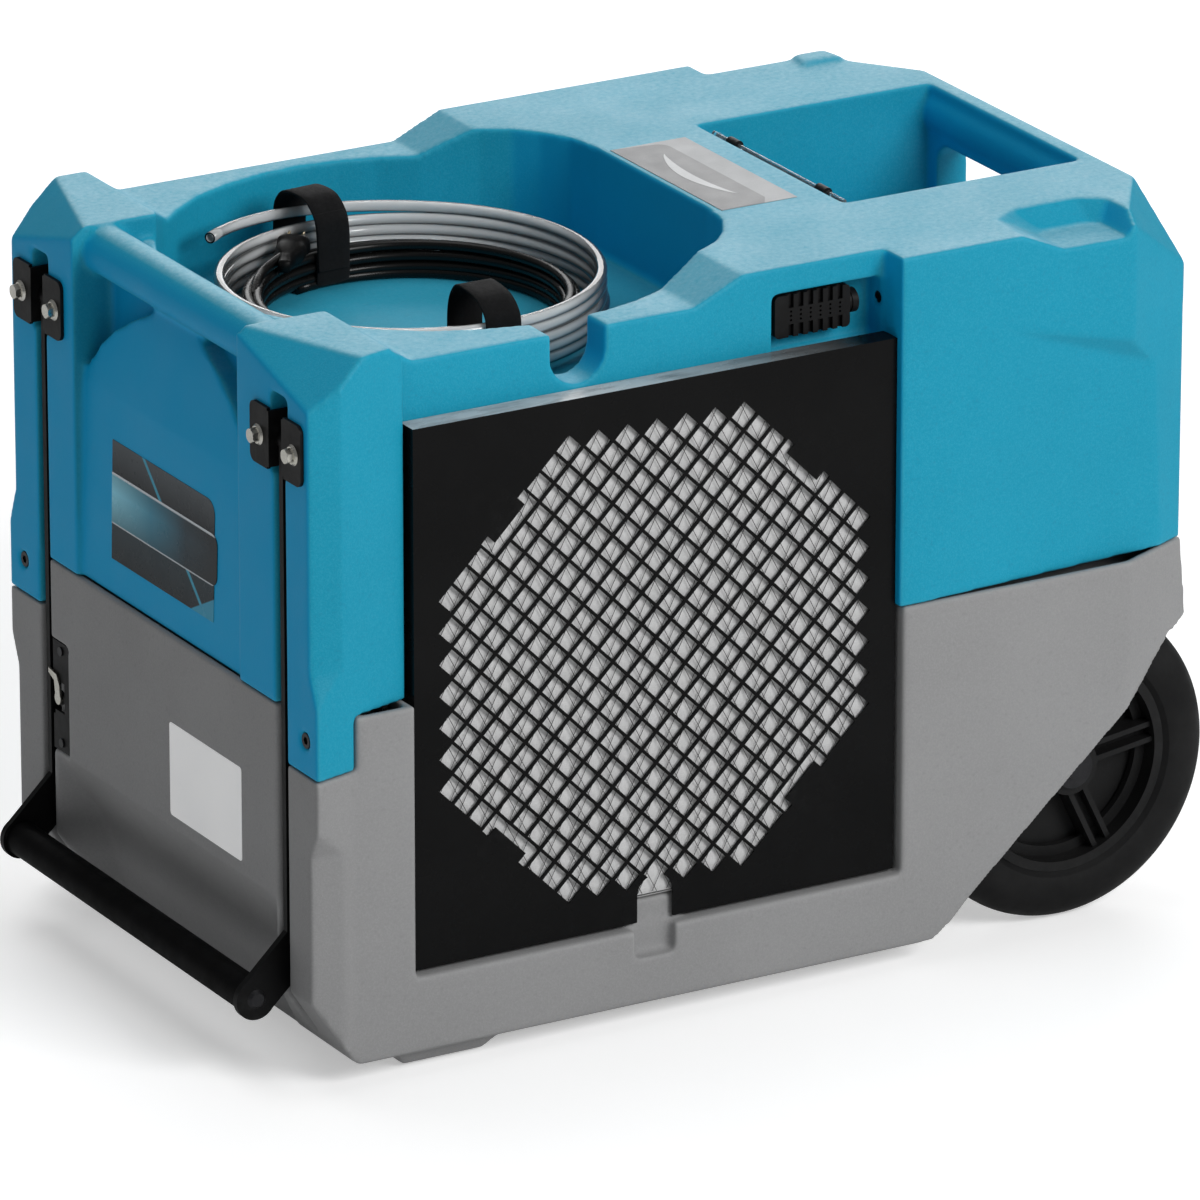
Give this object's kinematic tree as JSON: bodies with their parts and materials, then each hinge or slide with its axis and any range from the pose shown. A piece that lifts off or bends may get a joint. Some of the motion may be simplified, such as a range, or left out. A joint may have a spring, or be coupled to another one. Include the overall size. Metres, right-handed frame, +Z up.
{
  "type": "portable dehumidifier",
  "caption": "Commercial refrigerant dehumidifier on two wheels with a fold-out pull handle, diamond-grid filter door, hose well and lidded control pocket.",
  "frame": {"origin": "centre of the overall box in plan, at floor level", "axes": "+X towards the wheel end, +Y towards the exhaust side, +Z up"},
  "size_m": [0.8884, 0.53, 0.608],
  "materials": {
    "blue_shell": "rotomoulded polyethylene, fine pebble texture",
    "grey_shell": "rotomoulded polyethylene, fine pebble texture",
    "panel_black": "semi-gloss black powder coat",
    "screen_wire": "dark painted wire",
    "filter_media": "white non-woven filter media",
    "bracket_black": "black powder coat",
    "zinc": "zinc-plated steel",
    "handle_black": "black powder coat",
    "grip_black": "matt black sleeve",
    "black_oxide": "black oxide screws",
    "tyre": "matt black rubber",
    "rim_black": "moulded black nylon",
    "bush": "natural nylon bushes",
    "feet": "matt black rubber",
    "clear_hose": "clear vinyl hose",
    "cord_black": "black rubber cord",
    "strap": "woven hook-and-loop webbing",
    "fascia": "printed membrane fascia",
    "display": "tinted display window",
    "key_red": "moulded key",
    "key_grey": "moulded key",
    "lid_clear": "clear polycarbonate",
    "hinge_black": "moulded black clips",
    "sensor_black": "moulded black housing",
    "label_silver": "brushed-silver film, blank",
    "label_dark": "glossy film with blank colour bands",
    "label_white": "white film, blank",
    "galvanised": "galvanised sheet",
    "fins": "aluminium fins",
    "tray": "vacuum-formed tray",
    "pump": "moulded pump housing",
    "compressor_black": "black enamel",
    "copper": "copper tube",
    "cap_grey": "aluminium can"
  },
  "bodies": {
    "body": {"upper_shell": "blue_shell", "lower_shell": "grey_shell", "near_handle_bracket": "bracket_black", "far_handle_bracket": "bracket_black", "bracket_bolts": "zinc", "pivot_pins": "zinc", "latch_plate": "bracket_black", "latch_screws": "black_oxide", "leg_screws": "black_oxide", "axle": "zinc", "wheel_bushes": "bush", "axle_caps": "black_oxide", "rubber_feet": "feet", "drain_hose": "clear_hose", "power_cord": "cord_black", "power_plug": "cord_black", "hose_strap": "strap", "cord_strap": "strap", "control_panel": "fascia", "display_window": "display", "lid_hinges": "hinge_black", "humidity_sensor": "sensor_black", "sensor_gland": "sensor_black", "top_label": "label_silver", "front_label": "label_dark", "rating_label": "label_white", "exhaust_grille": "panel_black", "base_pan": "galvanised", "evaporator_coil": "fins", "condenser_coil": "fins", "drain_tray": "tray", "condensate_pump": "pump", "compressor": "compressor_black", "compressor_grommets": "feet", "refrigerant_lines": "copper", "filter_drier": "copper", "fan_shroud": "rim_black", "fan_motor": "galvanised", "control_box": "tray", "start_capacitor": "cap_grey"},
    "handle": {"near_handle_arm": "handle_black", "far_handle_arm": "handle_black", "handle_grip": "grip_black", "grip_screws": "black_oxide"},
    "near_wheel": {"near_tyre": "tyre", "near_rim": "rim_black"},
    "far_wheel": {"far_tyre": "tyre", "far_rim": "rim_black"},
    "latch": {"latch_hook": "zinc"},
    "lid": {"control_lid": "lid_clear"},
    "filter_door": {"intake_panel": "panel_black", "filter_screen": "screen_wire", "air_filter": "filter_media"},
    "fan": {"fan_impeller": "rim_black"},
    "power_button": {"power_key": "key_red"},
    "up_button": {"up_key": "key_grey"},
    "down_button": {"down_key": "key_grey"},
    "mode_button": {"mode_key": "key_grey"},
    "pump_button": {"pump_key": "key_grey"}
  },
  "joints": [
    {"name": "handle_swing", "type": "hinge", "parent": "body", "child": "handle", "pos_m": [-0.38825, 0, 0.528], "axis": [0, 1, 0], "range_deg": [0, 115]},
    {"name": "near_wheel_spin", "type": "hinge", "parent": "body", "child": "near_wheel", "pos_m": [0.31275, -0.208, 0.134], "axis": [0, 1, 0], "continuous": true},
    {"name": "far_wheel_spin", "type": "hinge", "parent": "body", "child": "far_wheel", "pos_m": [0.31275, 0.188, 0.134], "axis": [0, 1, 0], "continuous": true},
    {"name": "latch_turn", "type": "hinge", "parent": "body", "child": "latch", "pos_m": [-0.39725, 0.174, 0.194], "axis": [1, 0, 0], "range_deg": [0, 35], "stiffness_Nm_per_rad": 0.01},
    {"name": "lid_swing", "type": "hinge", "parent": "body", "child": "lid", "pos_m": [0.17619, 0.006, 0.59895], "axis": [0, 1, 0], "range_deg": [-110, 0]},
    {"name": "filter_door_pull", "type": "slide", "parent": "body", "child": "filter_door", "axis": [0, -1, 0], "range_m": [0, 0.12]},
    {"name": "fan_spin", "type": "hinge", "parent": "body", "child": "fan", "pos_m": [-0.08525, 0.192, 0.316], "axis": [0, 1, 0], "continuous": true},
    {"name": "power_press", "type": "slide", "parent": "body", "child": "power_button", "axis": [-0.6968, 0, -0.7173], "range_m": [0, 0.0012], "stiffness_N_per_m": 600},
    {"name": "up_press", "type": "slide", "parent": "body", "child": "up_button", "axis": [-0.6968, 0, -0.7173], "range_m": [0, 0.0012], "stiffness_N_per_m": 600},
    {"name": "down_press", "type": "slide", "parent": "body", "child": "down_button", "axis": [-0.6968, 0, -0.7173], "range_m": [0, 0.0012], "stiffness_N_per_m": 600},
    {"name": "mode_press", "type": "slide", "parent": "body", "child": "mode_button", "axis": [-0.6968, 0, -0.7173], "range_m": [0, 0.0012], "stiffness_N_per_m": 600},
    {"name": "pump_press", "type": "slide", "parent": "body", "child": "pump_button", "axis": [-0.6968, 0, -0.7173], "range_m": [0, 0.0012], "stiffness_N_per_m": 600}
  ]
}
